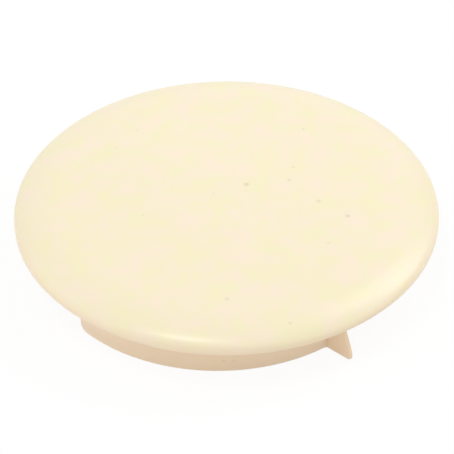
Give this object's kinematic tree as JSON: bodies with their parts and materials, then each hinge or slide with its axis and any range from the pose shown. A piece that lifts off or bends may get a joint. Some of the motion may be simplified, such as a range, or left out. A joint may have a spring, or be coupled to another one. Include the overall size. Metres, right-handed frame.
{
  "type": "screw cover cap",
  "caption": "Round crowned plastic cap that hides a furniture screw or connector, with a shallow push-in collar whose sprung walls and barbs grip the hole.",
  "frame": {"origin": "middle of the flange's flat underside, the face that rests on the board around the hole", "axes": "+Z out of the board through the crowned top, -Z down into the hole, -Y towards the wall that the picture shows, +X towards that wall's barb"},
  "size_m": [0.018, 0.018, 0.0034],
  "materials": {
    "cream_plastic": "cream moulded plastic with a soft satin skin, faint mottling and a few fine dark specks"
  },
  "bodies": {
    "root": {"cover_cap": "cream_plastic"}
  },
  "joints": []
}
